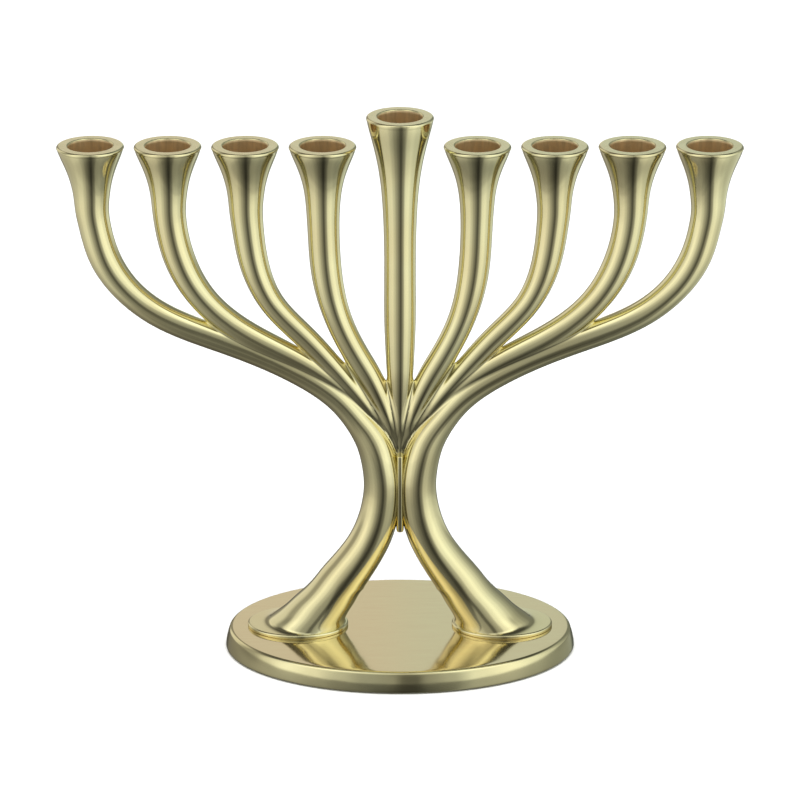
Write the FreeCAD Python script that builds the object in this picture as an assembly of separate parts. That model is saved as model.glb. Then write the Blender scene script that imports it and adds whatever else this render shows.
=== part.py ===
import FreeCAD
import Part

import math
import os

# Nine-branch menorah, millimetres.  X runs along the row of cups, -Y is the front, +Z is up.
# The origin is on the table, under the middle of the oval base.
V = FreeCAD.Vector

# ---- cups and arms -------------------------------------------------------------------------
CUP_PITCH = 22.5            # cup to cup, along X
SIDE_RIM_Z = 159.4          # rim of the eight side cups
CENTRE_RIM_Z = 168.2        # rim of the servant-candle cup
RIM_R = 9.85                # outer radius of every rim
RIM_ROUND = 0.7             # rounding of the rim's outer edge
BORE_R = 6.65               # candle socket
BORE_STRAIGHT = 5.5         # depth of the socket's straight wall
BORE_END_R = 4.3            # the socket then tapers to this radius
BORE_DEPTH = 10.0           # depth at the end of the taper
BORE_POINT = 1.0            # depth of the drill point below that
BORE_CHAMFER = 0.35
SIDE_FLARE = (4.72, 9.35, 1.5, 19.4)      # stem radius, length scale, power, height of a side cup
CENTRE_FLARE = (4.65, 14.8, 1.4, 29.0)    # the same for the servant-candle cup

# Centre lines in the XZ plane, downwards from just under the cup: (x, z, radius).
ARM_LINES = {
    "outer": [(89.3, 134.6, 4.72), (86.9, 125.4, 4.62), (81.0, 115.6, 4.2),
              (73.7, 108.9, 4.0), (52.1, 98.9, 3.9), (28.8, 88.0, 3.8), (17.9, 80.0, 3.95),
              (11.9, 72.6, 4.3), (7.7, 65.6, 5.2), (5.85, 58.6, 5.5), (5.3, 53.0, 5.6),
              (5.65, 47.2, 5.75), (7.75, 38.2, 6.05), (10.6, 32.0, 6.2), (16.0, 23.8, 6.75)],
    "second": [(66.9, 133.6, 4.75), (64.4, 123.6, 4.6), (57.6, 111.6, 4.1),
               (46.1, 101.5, 3.95), (30.2, 92.8, 3.5), (16.2, 82.8, 2.7), (9.4, 75.6, 1.9)],
    "third": [(44.6, 134.4, 4.7), (42.7, 122.4, 4.3), (37.6, 110.6, 3.7),
              (28.6, 100.5, 3.5), (16.4, 86.5, 2.9), (6.7, 73.6, 1.7), (1.5, 65.6, 0.75)],
    "fourth": [(22.4, 133.6, 4.72), (21.6, 120.4, 4.55), (18.0, 105.2, 4.0),
               (12.0, 92.8, 3.8), (8.4, 86.4, 3.6), (5.6, 80.0, 2.9), (2.7, 71.4, 1.6),
               (0.5, 63.1, 0.6)],
}
STEM_LINE = [(128.0, 4.7), (116.0, 4.7), (104.0, 4.65), (95.0, 4.3), (86.0, 3.7), (75.0, 2.1),
             (62.4, 0.5)]                 # (z, radius) of the centre stem

SPIGOT_LENGTH, SPIGOT_PLAY = 1.5, 0.08    # each arm runs up into its cup and is this much thinner
NEARLY_ROUND = 0.9995       # round sections are ovals by a hair, so that all start at the same side
FLARE_STEPS = 8             # points on a cup's outline
OUTER_STATIONS = 41         # sections in the long sweep of an outer arm
SIDE_STATIONS = 17          # sections in each of the other arms

# ---- feet and base -------------------------------------------------------------------------
BASE_A, BASE_B = 53.2, 35.6               # half width and half depth of the base at its lower edge
BASE_DRAFT = 1.45                         # how much narrower it is at the top
BASE_LIFT = 0.3                           # the felt stands proud of the metal by this much
BASE_TOP = 6.45
BASE_ROUND = 1.4                          # rounded shoulder
BASE_SKIN = 2.6                           # thickness of the top plate
BASE_WALL = 3.0                           # thickness of the rim
FELT_LEDGE = 1.6                          # rim width under which the felt is let in
FELT_THICK = 1.5
FELT_PLAY = 0.3                           # gap between the felt's edge and the rim
FOOT_X = 31.1                             # centre of each oval foot flange
FOOT_A, FOOT_B = 15.3, 11.2
FOOT_THICK = 1.95
FOOT_ROUND = 0.75
FOOT_SLICES = 3                           # slices between two of the foot's sections
# Oval sections from the slanting leg to the flange: (x, z, half width, half depth, degrees).
FOOT_SECTIONS = [(18.3, 20.5, 7.55, 6.95, 14.6), (23.1, 15.5, 9.5, 7.2, 4.2),
                 (26.05, 12.0, 10.85, 7.6, 0), (27.75, 10.2, 11.85, 8.2, 0),
                 (29.15, 9.2, 13.05, 9.0, 0), (30.2, 8.65, 13.8, 9.7, 0),
                 (31.05, 8.3, 14.5, 10.4, 0)]

# ---- joining pieces ------------------------------------------------------------------------
BAR_WIDTH, BAR_DEPTH = 2.3, 7.0           # let into both legs, with rounded edges
BAR_ROUND = 0.8
BAR_BOTTOM, BAR_TOP = 38.4, 63.0
SCREW_X = 28.5
SCREW_R = 2.0
SCREW_REACH = 7.2                         # thread engaged above the base's top plate
HEAD_R, HEAD_H = 3.2, 1.25
SLOT_W, SLOT_DEEP = 1.0, 0.6
WASHER_R, WASHER_T = 4.2, 0.5
HOLE_PLAY = 0.2
PIN_X = 20.6
PIN_R = 1.5
PIN_REACH = 3.4                           # length of pin inside the foot
PIN_SEAT = 0.6                            # height of the pin's lower end inside its boss
END_PLAY = 0.4                            # empty depth of a hole beyond a screw or pin
BOSS_EXTRA = 1.4                          # wall of the bosses under the base's top plate
BOSS_DROP = 0.9
FUSE = 0.5                                # how far a boss runs up into the plate
PAST = 1.0                                # how far a cut runs past the surface it opens


def flare_radius(flare, h):
    """Outside radius of a cup at depth h under its rim: a trumpet mouth on a straight stem."""
    stem_r, scale, power, height = flare
    return stem_r + (RIM_R - stem_r) * math.exp(-((h / scale) ** power))


def spline_edge(points):
    curve = Part.BSplineCurve()
    curve.interpolate(points)
    return curve.toShape()


def cup(flare, x, rim_z):
    """Turned cup: flare outside, rounded rim, chamfered straight socket with a tapered seat."""
    height = flare[3]
    rim_top = V(x + RIM_R - RIM_ROUND, 0, rim_z)
    halfway = RIM_ROUND * (1 - math.sqrt(0.5))
    rim_mid = V(x + RIM_R - halfway, 0, rim_z - halfway)
    flare_points = []
    for i in range(FLARE_STEPS + 1):
        h = RIM_ROUND + (height - RIM_ROUND) * i / FLARE_STEPS
        flare_points.append(V(x + flare_radius(flare, h), 0, rim_z - h))
    rim_side = flare_points[0]
    stem_side = flare_points[-1]
    mouth = [rim_top,
             V(x + BORE_R + BORE_CHAMFER, 0, rim_z),
             V(x + BORE_R, 0, rim_z - BORE_CHAMFER),
             V(x + BORE_R, 0, rim_z - BORE_STRAIGHT),
             V(x + BORE_END_R, 0, rim_z - BORE_DEPTH),
             V(x, 0, rim_z - BORE_DEPTH - BORE_POINT),
             V(x, 0, stem_side.z),
             stem_side]
    edges = [Part.Arc(rim_side, rim_mid, rim_top).toShape()]
    for a, b in zip(mouth, mouth[1:]):
        edges.append(Part.makeLine(a, b))
    edges.append(spline_edge(flare_points[::-1]))
    face = Part.Face(Part.Wire(Part.__sortEdges__(edges)))
    return face.revolve(V(x, 0, 0), V(0, 0, 1), 360)


def oval(x, z, a, b, tilt=0.0):
    """Closed oval of half width a and half depth b, its plane turned by tilt about Y."""
    wide = V(math.cos(tilt), 0, math.sin(tilt))
    depth = min(b, a * NEARLY_ROUND)
    curve = Part.Ellipse(V(x, 0, z) + wide * a, V(x, depth, z), V(x, 0, z))
    return Part.Wire(curve.toShape())


def along(line, count):
    """Even stations on the smooth curve through (x, z, radius) points, with the slope at each."""
    curve = Part.BSplineCurve()
    curve.interpolate([V(x, r, z) for x, z, r in line])
    first, last = curve.FirstParameter, curve.LastParameter
    stations = []
    for i in range(count):
        at = first + (last - first) * i / (count - 1)
        point = curve.value(at)
        heading = curve.tangent(at)[0]
        tilt = math.atan2(-heading.x, -heading.z)
        stations.append((point.x, point.z, point.y, -tilt))
    return stations


def arm_line(name, cups_from_centre):
    """Centre line of an arm, starting just inside the foot of its cup."""
    height = SIDE_FLARE[3]
    r = flare_radius(SIDE_FLARE, height) - SPIGOT_PLAY
    start = (cups_from_centre * CUP_PITCH, SIDE_RIM_Z - height + SPIGOT_LENGTH, r)
    return [start] + ARM_LINES[name]


def tube(line, count):
    sections = [oval(x, z, r, r, tilt) for x, z, r, tilt in along(line, count)]
    return Part.makeLoft(sections, True, False)


def mirrored(shape):
    return shape.mirror(V(0, 0, 0), V(1, 0, 0))


def side_arm(name, cups_from_centre):
    arm = tube(arm_line(name, cups_from_centre), SIDE_STATIONS)
    return arm.fuse(cup(SIDE_FLARE, cups_from_centre * CUP_PITCH, SIDE_RIM_Z)).removeSplitter()


def leg_and_foot():
    """Lower leg from the last station of the outer arm, hollowed out into its oval flange."""
    x, z, r, tilt = along(arm_line("outer", 4), OUTER_STATIONS)[-1]
    stations = [(x, z, r, r, math.degrees(tilt))] + FOOT_SECTIONS
    spans = len(stations) - 1
    places = [float(i) for i in range(spans + 1)]
    middles = Part.BSplineCurve()
    middles.interpolate(Points=[V(x, a, z) for x, z, a, b, turn in stations], Parameters=places)
    others = Part.BSplineCurve()
    others.interpolate(Points=[V(b, turn, 0) for x, z, a, b, turn in stations], Parameters=places)
    sections = []
    for i in range(spans * FOOT_SLICES + 1):
        middle = middles.value(i / FOOT_SLICES)
        other = others.value(i / FOOT_SLICES)
        sections.append(oval(middle.x, middle.z, middle.y, other.x, math.radians(other.y)))
    leg = Part.makeLoft(sections, True, True)
    flange = Part.Face(oval(FOOT_X, BASE_TOP, FOOT_A, FOOT_B)).extrude(V(0, 0, FOOT_THICK))
    rims = [e for e in flange.Edges if len(e.Vertexes) == 1]
    return leg.fuse(flange.makeFillet(FOOT_ROUND, rims))


def upright_cylinder(x, z_low, z_high, r):
    return Part.makeCylinder(r, z_high - z_low, V(x, 0, z_low), V(0, 0, 1))


def outer_arm_with_leg():
    body = tube(arm_line("outer", 4), OUTER_STATIONS)
    body = body.fuse([cup(SIDE_FLARE, 4 * CUP_PITCH, SIDE_RIM_Z), leg_and_foot()])
    for x, reach, r in ((SCREW_X, SCREW_REACH, SCREW_R), (PIN_X, PIN_REACH, PIN_R)):
        body = body.cut(upright_cylinder(x, BASE_TOP, BASE_TOP + reach + END_PLAY, r))
    return body.removeSplitter()


def centre_stem():
    """Turned stem, tapering to a point at the waist."""
    height = CENTRE_FLARE[3]
    top = V(flare_radius(CENTRE_FLARE, height), 0, CENTRE_RIM_Z - height)
    outline = [top] + [V(r, 0, z) for z, r in STEM_LINE]
    low = outline[-1]
    edges = [spline_edge(outline),
             Part.makeLine(low, V(0, 0, low.z)),
             Part.makeLine(V(0, 0, low.z), V(0, 0, top.z)),
             Part.makeLine(V(0, 0, top.z), top)]
    stem = Part.Face(Part.Wire(Part.__sortEdges__(edges))).revolve(V(0, 0, 0), V(0, 0, 1), 360)
    return stem.fuse(cup(CENTRE_FLARE, 0, CENTRE_RIM_Z)).removeSplitter()


def waist_bar():
    corner = V(-BAR_WIDTH / 2, -BAR_DEPTH / 2, BAR_BOTTOM)
    bar = Part.makeBox(BAR_WIDTH, BAR_DEPTH, BAR_TOP - BAR_BOTTOM, corner)
    uprights = [e for e in bar.Edges if e.BoundBox.ZLength > BAR_DEPTH]
    return bar.makeFillet(BAR_ROUND, uprights)


def base_plate():
    """Shallow oval casting, open underneath, with a boss for each screw and pin."""
    lower = oval(0, BASE_LIFT, BASE_A, BASE_B)
    upper = oval(0, BASE_TOP, BASE_A - BASE_DRAFT, BASE_B - BASE_DRAFT)
    plate = Part.makeLoft([lower, upper], True, True)
    shoulder = [e for e in plate.Edges if e.BoundBox.ZMin > BASE_TOP - BASE_ROUND]
    plate = plate.makeFillet(BASE_ROUND, shoulder)
    roof = BASE_TOP - BASE_SKIN
    hollow = Part.Face(oval(0, 0, BASE_A - BASE_WALL, BASE_B - BASE_WALL)).extrude(V(0, 0, roof))
    ledge = Part.Face(oval(0, 0, BASE_A - FELT_LEDGE, BASE_B - FELT_LEDGE))
    ledge = ledge.extrude(V(0, 0, FELT_THICK))
    plate = plate.cut([hollow, ledge])
    boss_low = roof - BOSS_DROP
    cut_high = BASE_TOP + PAST
    for side in (-1, 1):
        boss = upright_cylinder(side * PIN_X, boss_low, roof + FUSE, PIN_R + BOSS_EXTRA)
        plate = plate.fuse(boss)
        screw_hole = upright_cylinder(side * SCREW_X, 0, cut_high, SCREW_R + HOLE_PLAY)
        pin_hole = upright_cylinder(side * PIN_X, boss_low + PIN_SEAT, cut_high, PIN_R)
        plate = plate.cut([screw_hole, pin_hole])
    return plate.removeSplitter()


def felt_pad():
    a = BASE_A - FELT_LEDGE - FELT_PLAY
    b = BASE_B - FELT_LEDGE - FELT_PLAY
    return Part.Face(oval(0, 0, a, b)).extrude(V(0, 0, FELT_THICK))


def leg_screw(x):
    """Slotted cheese-head screw, driven up through the base into the foot."""
    seat = BASE_TOP - BASE_SKIN - WASHER_T
    head = upright_cylinder(x, seat - HEAD_H, seat, HEAD_R)
    shank = upright_cylinder(x, seat, BASE_TOP + SCREW_REACH, SCREW_R)
    slot = Part.makeBox(2 * HEAD_R, SLOT_W, SLOT_DEEP, V(x - HEAD_R, -SLOT_W / 2, seat - HEAD_H))
    return head.fuse(shank).cut(slot).removeSplitter()


def leg_washer(x):
    top = BASE_TOP - BASE_SKIN
    ring = upright_cylinder(x, top - WASHER_T, top, WASHER_R)
    return ring.cut(upright_cylinder(x, top - WASHER_T, top, SCREW_R + HOLE_PLAY))


def locating_pin(x):
    low = BASE_TOP - BASE_SKIN - BOSS_DROP + PIN_SEAT
    return upright_cylinder(x, low, BASE_TOP + PIN_REACH, PIN_R)


def right_of_middle(shape):
    """Cut at the middle plane, so that left and right pieces meet there without overlapping."""
    reach = 2 * CENTRE_RIM_Z
    keep = Part.makeBox(reach, 2 * reach, reach, V(0, -reach, 0))
    return shape.common(keep)


def save(name, shape):
    solids = shape.Solids
    biggest = max(solids, key=lambda s: s.Volume)
    if len(solids) != 1:
        print(name, "has", len(solids), "solids, keeps", round(biggest.Volume / shape.Volume, 4))
    if not biggest.isValid():
        raise ValueError(name + " is not valid")
    biggest.exportStep("parts/" + name + ".step")
    print(name, round(biggest.Volume, 1), "mm3")


def main():
    os.makedirs("parts", exist_ok=True)
    bar = waist_bar()
    outer = right_of_middle(outer_arm_with_leg()).cut(bar)
    stem = centre_stem()
    fourth = right_of_middle(side_arm("fourth", 1))
    third = right_of_middle(side_arm("third", 2))
    second = right_of_middle(side_arm("second", 3))

    # Each arm is coped to fit against the thicker ones it is soldered to.
    stem = stem.cut([outer, mirrored(outer), bar])
    fourth = fourth.cut([outer, stem, bar])
    third = third.cut([outer, stem, fourth, bar])
    second = second.cut([outer, stem, fourth, third, bar])

    save("arm_9_with_leg", outer)
    save("arm_8", second)
    save("arm_7", third)
    save("arm_6", fourth)
    save("servant_stem", stem)
    save("arm_4", mirrored(fourth))
    save("arm_3", mirrored(third))
    save("arm_2", mirrored(second))
    save("arm_1_with_leg", mirrored(outer))
    save("waist_bar", bar)
    save("base_plate", base_plate())
    save("felt_pad", felt_pad())
    for word, side in (("left", -1), ("right", 1)):
        save("leg_screw_" + word, leg_screw(side * SCREW_X))
        save("leg_washer_" + word, leg_washer(side * SCREW_X))
        save("locating_pin_" + word, locating_pin(side * PIN_X))


main()
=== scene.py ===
"""Nine-branch table menorah in polished pale-gold plating: cups, arms, legs, base and felt."""

import math

import bpy
import numpy as np
from bpy.props import FloatProperty, FloatVectorProperty, IntProperty, PointerProperty
from mathutils import Matrix, Vector


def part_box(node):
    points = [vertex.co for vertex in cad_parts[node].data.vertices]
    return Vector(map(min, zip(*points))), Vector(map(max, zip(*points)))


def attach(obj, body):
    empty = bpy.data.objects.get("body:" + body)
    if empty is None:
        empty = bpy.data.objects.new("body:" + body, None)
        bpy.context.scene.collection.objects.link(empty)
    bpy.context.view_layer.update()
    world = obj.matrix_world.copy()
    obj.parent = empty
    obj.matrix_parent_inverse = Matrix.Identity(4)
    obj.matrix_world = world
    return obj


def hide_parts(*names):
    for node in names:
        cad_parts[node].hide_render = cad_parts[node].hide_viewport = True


bl_info = {
    "name": "Nine-branch menorah",
    "version": (1, 0, 0),
    "blender": (4, 5, 0),
    "location": "3D View > Sidebar > Menorah",
    "description": "Builds a plated nine-branch menorah around its fixed frame",
    "category": "Object",
}

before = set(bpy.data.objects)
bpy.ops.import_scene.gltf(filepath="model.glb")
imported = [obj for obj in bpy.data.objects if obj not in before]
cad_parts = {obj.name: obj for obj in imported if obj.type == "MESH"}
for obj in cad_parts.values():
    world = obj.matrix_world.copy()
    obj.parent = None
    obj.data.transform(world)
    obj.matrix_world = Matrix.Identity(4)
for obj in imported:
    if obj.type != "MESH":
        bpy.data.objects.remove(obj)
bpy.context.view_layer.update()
MM = 0.001


def box_size(node, axis):
    low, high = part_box(node)
    return high[axis] - low[axis]


def linear(code):
    """Linear RGBA of an sRGB hex colour."""
    channels = [int(code[i:i + 2], 16) / 255 for i in (1, 3, 5)]
    return [c / 12.92 if c <= 0.04045 else ((c + 0.055) / 1.055) ** 2.4 for c in channels] + [1.0]


def length(name, millimetres, description):
    return FloatProperty(name=name, default=millimetres * MM, description=description,
                         unit="LENGTH", subtype="DISTANCE", precision=5)


def colour(name, code, description):
    return FloatVectorProperty(name=name, default=linear(code), size=4, min=0.0, max=1.0,
                               subtype="COLOR", description=description)


# ---- sizes and colours a user would change ---------------------------
class MenorahCups(bpy.types.PropertyGroup):
    pitch: length("Cup pitch", 22.5, "Distance from cup to cup")
    rim_radius: length("Rim radius", 9.85, "Outer radius of every rim")
    rim_round: length("Rim rounding", 0.7, "Rounding of the rim's outer edge")
    bore_radius: length("Socket radius", 6.65, "Radius of the straight wall of a candle socket")
    bore_straight: length("Socket wall", 5.5, "Depth of the socket's straight wall")
    bore_end: length("Socket end radius", 4.3, "Radius at the end of the socket's taper")
    bore_depth: length("Socket depth", 10.0, "Depth at the end of the taper")
    bore_point: length("Drill point", 1.0, "Depth of the drill point below the taper")
    mouth_round: length("Mouth rounding", 0.35, "Rounding of the socket's mouth")


class MenorahArms(bpy.types.PropertyGroup):
    sides: IntProperty(name="Sides", default=104, min=24, max=160,
                       description="Points around each arm")
    spacing: length("Ring spacing", 0.5, "Distance between two rings along an arm")
    crease: length("Crease rounding", 0.5, "Reach of the soft crease where two arms meet")
    merge: length("Inner crease rounding", 1.6,
                  "The same where arm 4 or 6 meets the stem or its outer neighbour")


class MenorahBase(bpy.types.PropertyGroup):
    half_width: length("Half width", box_size("base_plate", 0) / 2 / MM, "At the lower edge")
    half_depth: length("Half depth", box_size("base_plate", 1) / 2 / MM, "At the lower edge")
    top: length("Top", 6.45, "Height of the base's top face")
    lift: length("Lift", 0.3, "Height of the metal's lower edge above the table")
    rounding: length("Shoulder rounding", 1.4, "Radius of the rounded shoulder")
    skin: length("Plate thickness", 2.6, "Thickness of the base's top plate")
    wall: length("Wall", 3.0, "Thickness of the base's rim")
    ledge: length("Felt ledge", 1.6, "Rim width outside the felt")
    felt: length("Felt thickness", 1.5, "Thickness of the felt pad")


class MenorahFinish(bpy.types.PropertyGroup):
    plating: colour("Plating", "#EBE4B8", "Polished pale-gold plating")
    plating_deep: colour("Plating, deep", "#E9DEB0", "Slightly richer patches of the plating")
    brushed: colour("Brushed plating", "#E4D3AB", "Finely brushed plating of the base's top")
    socket: colour("Socket", "#E7CDA2", "Unpolished plating inside the sockets")
    felt: colour("Felt", "#22261F", "Pressed wool felt")
    steel: colour("Zinc-plated steel", "#B9BCC0", "Screws, washers and pins")


class MenorahStage(bpy.types.PropertyGroup):
    pitch: FloatProperty(name="Camera pitch", default=math.radians(21.3), subtype="ANGLE",
                         unit="ROTATION", description="How far the camera looks down")
    distance: length("Camera distance", 1103.0, "From the camera to the point that it looks at")
    target: length("Target height", 80.0, "Height of the point that the camera looks at")
    lens: FloatProperty(name="Lens", default=166.5, unit="CAMERA",
                        description="Focal length in millimetres on a 36 mm sensor")
    floor: colour("Floor", "#F4F4F4", "Pale paper floor")


# ---- shapes, in millimetres ------------------------------------------
# Height of a cup's rim and its flare: (radius of the arm, length scale, power, height).
SIDE_CUP = (159.4, (4.72, 9.35, 1.5, 19.4))
SERVANT_CUP = (168.2, (4.65, 14.8, 1.4, 29.0))
FLARE_JOIN = 0.72                         # share of the flare's height above the arm's stations
# A ring is (x, z, half width, half depth, tilt, finish, edge wear); these are the finishes.
CASTING, TURNED, SOCKET = 0.0, 1.0, 2.0

# Centre lines, downwards from just under the cup: (x, z, radius).
ARM_LINES = {
    "outer": [(89.3, 134.6, 4.72), (86.9, 125.4, 4.62), (81.0, 115.6, 4.2),
              (73.7, 108.9, 4.0), (52.1, 98.9, 3.9), (28.8, 88.0, 3.8), (17.9, 80.0, 3.95),
              (11.9, 72.6, 4.3), (7.7, 65.6, 5.2), (5.85, 58.6, 5.5), (5.3, 53.0, 5.6),
              (5.65, 47.2, 5.75), (7.75, 38.2, 6.05), (10.6, 32.0, 6.2), (16.0, 23.8, 6.75)],
    "second": [(66.9, 133.6, 4.75), (64.4, 123.6, 4.6), (57.6, 111.6, 4.1),
               (46.1, 101.5, 3.95), (30.2, 92.8, 3.5), (16.2, 82.8, 2.7), (9.4, 75.6, 1.9)],
    "third": [(44.6, 134.4, 4.7), (42.7, 122.4, 4.3), (37.6, 110.6, 3.7),
              (28.6, 100.5, 3.5), (16.4, 86.5, 2.9), (6.7, 73.6, 1.7), (1.5, 65.6, 0.75)],
    "fourth": [(22.4, 133.6, 4.72), (21.6, 120.4, 4.55), (18.0, 105.2, 4.0),
               (12.0, 92.8, 3.8), (8.4, 86.4, 3.6), (5.6, 80.0, 2.9), (2.7, 71.4, 1.6),
               (0.5, 63.1, 0.6)],
    "stem": [(0.0, 128.0, 4.7), (0.0, 116.0, 4.7), (0.0, 104.0, 4.65), (0.0, 95.0, 4.3),
             (0.0, 86.0, 3.7), (0.0, 75.0, 2.1), (0.0, 62.4, 0.5)],
}
# Oval sections from the slanting leg to the flange: (x, z, half width, half depth, degrees).
FOOT_SECTIONS = [(18.45, 20.5, 7.4, 7.0, 14.9), (22.45, 15.5, 8.95, 7.7, 4.2),
                 (25.4, 12.0, 10.2, 8.6, 0.0), (27.0, 10.2, 10.85, 9.2, 0.0),
                 (27.9, 9.1, 11.35, 9.6, 0.0), (28.5, 8.35, 11.85, 9.9, 0.0),
                 (29.35, 7.97, 12.65, 10.2, 0.0), (30.3, 7.8, 13.6, 10.45, 0.0),
                 (31.05, 7.73, 14.4, 10.6, 0.0)]
FOOT_ANCHORS = (24, 12, 1)   # the arm's stations, counted from its end, that the foot runs on from
FOOT_CROWDING = 1.5          # draws the foot's rings together towards the flange
FOOT_EDGE = (13.0, 1.5)      # half width where edge wear starts, and its run to full wear
# The oval flange: x of its middle, half width and half depth, rounding of its upper edge;
# height of its top and of its underside, rounding of its lower edge.
FOOT_X, FOOT_A, FOOT_B, FOOT_ROUND = 31.1, 15.3, 11.2, 0.55
FOOT_TOP, FOOT_LOW, FOOT_HEEL = 7.7, 6.46, 0.25

# Name of each cast piece: its line, its cup's place in the row, the pieces whose creases it shares.
CASTINGS = {
    "arm_1_with_leg": ("outer", -4, ("arm_2", "arm_3", "arm_4", "servant_stem")),
    "arm_2": ("second", -3, ("arm_1_with_leg", "arm_3")),
    "arm_3": ("third", -2, ("arm_1_with_leg", "arm_2", "arm_4")),
    "arm_4": ("fourth", -1, ("arm_1_with_leg", "arm_3", "servant_stem")),
    "servant_stem": ("stem", 0, ("arm_1_with_leg", "arm_4", "arm_6", "arm_9_with_leg")),
    "arm_6": ("fourth", 1, ("arm_9_with_leg", "arm_7", "servant_stem")),
    "arm_7": ("third", 2, ("arm_9_with_leg", "arm_8", "arm_6")),
    "arm_8": ("second", 3, ("arm_9_with_leg", "arm_7")),
    "arm_9_with_leg": ("outer", 4, ("arm_8", "arm_7", "arm_6", "servant_stem")),
}
CREASE_LOW, CREASE_HIGH = 58, 118                 # heights between which arms meet
BAR_HALF_WIDTH, BAR_HALF_DEPTH, BAR_LOW, BAR_HIGH, BAR_ROUND = 1.15, 3.5, 38.4, 63.0, 0.35
BAR_SQUARENESS = 3.2                      # 2 would leave the bar's section an oval
WALL_LEAN = (math.radians(18), math.radians(5))   # of the base's wall, at the shoulder and the foot
WALL_ROUND, WALL_STEP = 0.35, 0.08        # rounding of its lower edge, inset where that starts
ROOF_ROUND, ARRIS = 0.4, 0.1              # bevels in the hollow of the base and beside the felt
# The felt's rounding, the height of its uneven face, and the uneven share of its outline.
FELT_ROUND, FELT_PILE, FELT_SLACK, FELT_SEED = 0.3, 0.04, 0.0006, 9
BASE_SIDES, BAR_SIDES = 288, 96


def cup_shape(kind):
    return SERVANT_CUP if kind == "stem" else SIDE_CUP


def spline(knots, values, at, start_slope=None):
    """Smooth curve through values at the knots, read at the places in at."""
    knots = np.asarray(knots, float)
    values = np.asarray(values, float)
    gap = np.diff(knots)
    rise = np.diff(values, axis=0) / gap[:, None]
    count = len(knots)
    matrix = np.zeros((count, count))
    right = np.zeros(values.shape)
    for i in range(1, count - 1):
        matrix[i, i - 1:i + 2] = gap[i - 1], 2 * (gap[i - 1] + gap[i]), gap[i]
        right[i] = 6 * (rise[i] - rise[i - 1])
    matrix[0, 0] = matrix[-1, -1] = 1.0
    if start_slope is not None:
        matrix[0, :2] = 2 * gap[0], gap[0]
        right[0] = 6 * (rise[0] - np.asarray(start_slope, float))
    bend = np.linalg.solve(matrix, right)
    span = np.clip(np.searchsorted(knots, at, side="right") - 1, 0, count - 2)
    h = gap[span][:, None]
    left = (knots[span + 1] - at)[:, None]
    done = (at - knots[span])[:, None]
    return (bend[span] * left ** 3 + bend[span + 1] * done ** 3) / (6 * h) \
        + (values[span] / h - bend[span] * h / 6) * left \
        + (values[span + 1] / h - bend[span + 1] * h / 6) * done


def flare_radius(flare, h, rim_radius):
    stem_r, scale, power, height = flare
    return stem_r + (rim_radius - stem_r) * np.exp(-((h / scale) ** power))


def quarter(count, low=0.0, high=90.0):
    """Sines and cosines of even steps between two angles."""
    angles = np.radians(np.linspace(low, high, count))
    return np.sin(angles), np.cos(angles)


def slab_edge(top, low, top_round, low_round, top_steps, low_steps):
    """(z, inset) down the edge of a slab, round both its corners."""
    return [(top - top_round * (1 - c), top_round * (1 - s)) for s, c in zip(*quarter(top_steps))] \
        + [(low + low_round * (1 - s), low_round * (1 - c)) for s, c in zip(*quarter(low_steps))]


def cup_rings(x, rim_z, flare, cups, flare_end):
    """Rings from the socket's point to the flare."""
    rim, round_, bore = cups.rim_radius / MM, cups.rim_round / MM, cups.bore_radius / MM
    mouth = cups.mouth_round / MM
    deep, straight, end = cups.bore_depth / MM, cups.bore_straight / MM, cups.bore_end / MM
    profile = []                                  # (radius, depth under the rim, finish, edge)
    for f in np.linspace(0.02, 1.0, 6):
        profile.append((end * f, deep + cups.bore_point / MM * (1 - f), SOCKET, 0.0))
    for f in np.linspace(0.0, 1.0, 10)[1:]:
        profile.append((end + (bore - end) * f, deep + (straight - deep) * f, SOCKET, 0.0))
    for f in np.linspace(0.0, 1.0, 9)[1:]:
        profile.append((bore, straight + (mouth - straight) * f, SOCKET, 0.0))
    for s, c in zip(*quarter(6)):
        profile.append((bore + mouth * (1 - c), mouth * (1 - s), TURNED, 1.0))
    for f in np.linspace(0.0, 1.0, 12)[1:]:
        profile.append((bore + mouth + (rim - round_ - bore - mouth) * f, 0.0, TURNED, 0.0))
    for s, c in list(zip(*quarter(9)))[1:]:
        profile.append((rim - round_ + round_ * s, round_ * (1 - c), CASTING, 1.0))
    fades = np.exp(-np.linspace(0.3, 6.0, 40))
    for h, fade in zip(np.linspace(round_, flare_end, 41)[1:], fades):
        profile.append((float(flare_radius(flare, h, rim)), h, CASTING, fade))
    return [(x, rim_z - depth, r, r, 0.0, finish, edge) for r, depth, finish, edge in profile]


def arm_stations(kind, place, cups, arms):
    """Stations (x, z, radius, tilt) at even steps down an arm, from its cup's flare."""
    rim_z, flare = cup_shape(kind)
    height = flare[3]
    x = abs(place) * cups.pitch / MM
    rim = cups.rim_radius / MM
    join = FLARE_JOIN * height
    points = [(x, rim_z - join, float(flare_radius(flare, join, rim))),
              (x, rim_z - height, float(flare_radius(flare, height, rim)))] + ARM_LINES[kind]
    steps = np.linalg.norm(np.diff(np.array(points)[:, :2], axis=0), axis=1)
    knots = np.concatenate([[0.0], np.cumsum(steps)])
    step = 0.1
    slope = (flare_radius(flare, join + step, rim) - flare_radius(flare, join, rim)) / step
    count = int(knots[-1] / (arms.spacing / MM)) + 2
    at = np.linspace(0.0, knots[-1], count)
    values, ahead, behind = [
        spline(knots, points, np.clip(at + shift, 0, knots[-1]), (0.0, -1.0, float(slope)))
        for shift in (0.0, step / 2, -step / 2)]
    heading = ahead[:, :2] - behind[:, :2]
    tilt = np.arctan2(heading[:, 0], -heading[:, 1])
    return join, [(x, z, r, t) for (x, z, r), t in zip(values, tilt)]


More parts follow.
